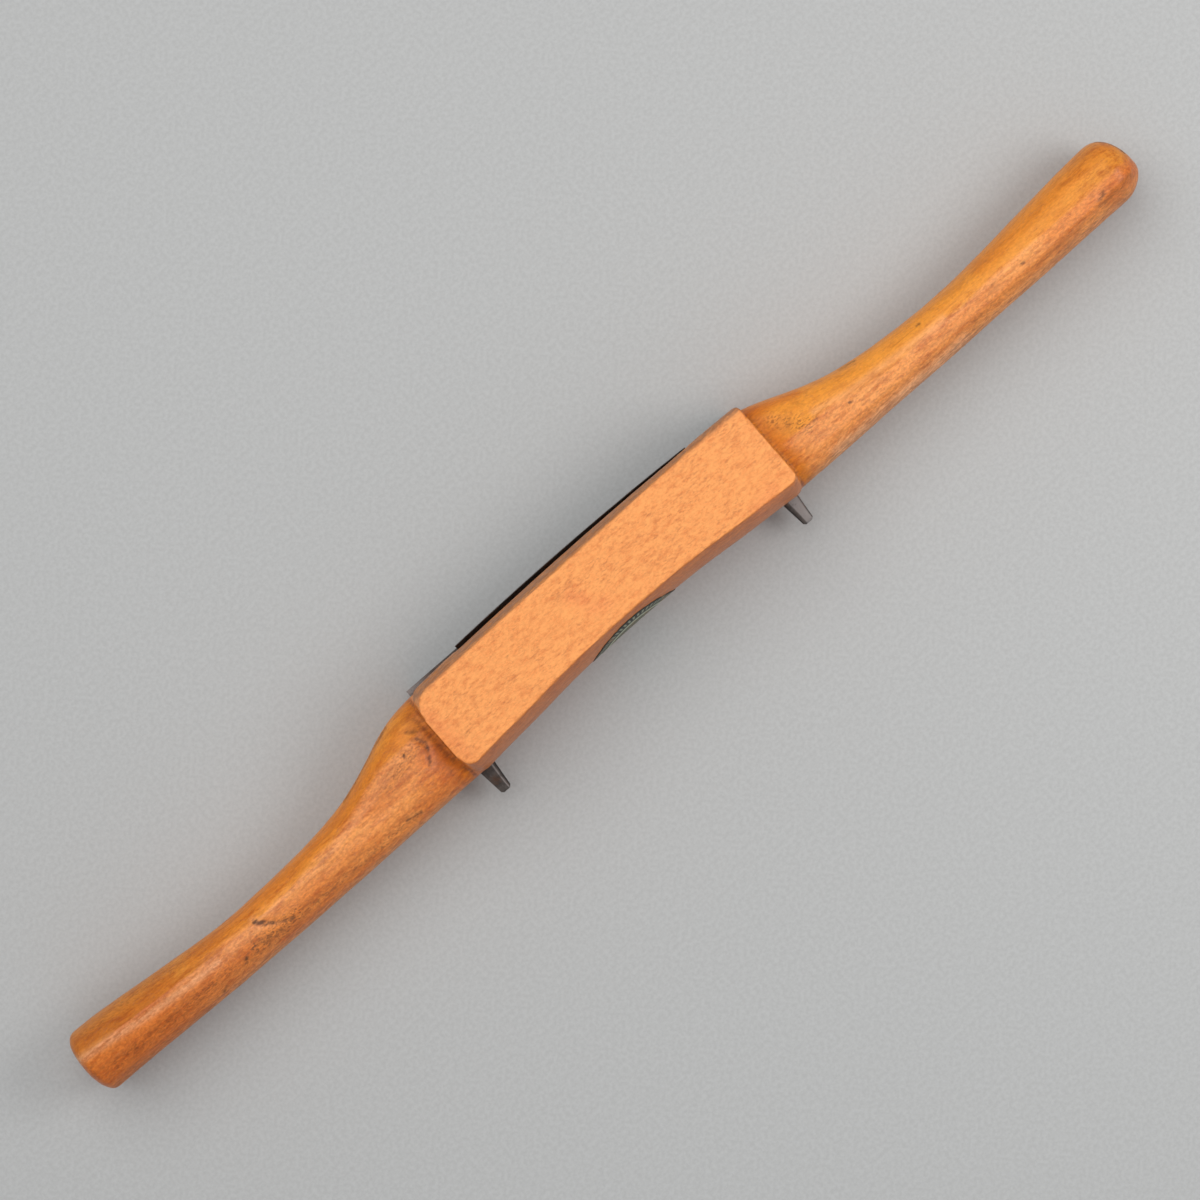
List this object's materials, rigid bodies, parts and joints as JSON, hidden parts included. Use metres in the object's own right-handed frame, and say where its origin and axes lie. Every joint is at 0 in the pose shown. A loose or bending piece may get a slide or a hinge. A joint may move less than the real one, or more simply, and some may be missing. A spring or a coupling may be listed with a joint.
{
  "type": "wooden spokeshave",
  "caption": "Wooden spokeshave: a dished beech body with shaped handles and a thin forged iron let into its sole, held by tapered tangs driven through to the top.",
  "frame": {"origin": "on the plane of the rear face that the shave lies on, midway between the two tangs and on the middle line of the body", "axes": "+X along the tool to the right handle, +Y towards the sole, +Z towards the plain front face"},
  "size_m": [0.2909, 0.0305, 0.026],
  "materials": {
    "stock": "old varnish, worn satin",
    "iron": "dark, lightly rusted, ground bevel",
    "label": "matt printed paper, yellowed"
  },
  "bodies": {
    "stock": {"stock": "stock", "label": "label"},
    "iron": {"iron": "iron"}
  },
  "joints": [
    {"name": "iron_slide", "type": "slide", "parent": "stock", "child": "iron", "axis": [0, 1, 0], "range_m": [-0.0006, 0.03]}
  ]
}
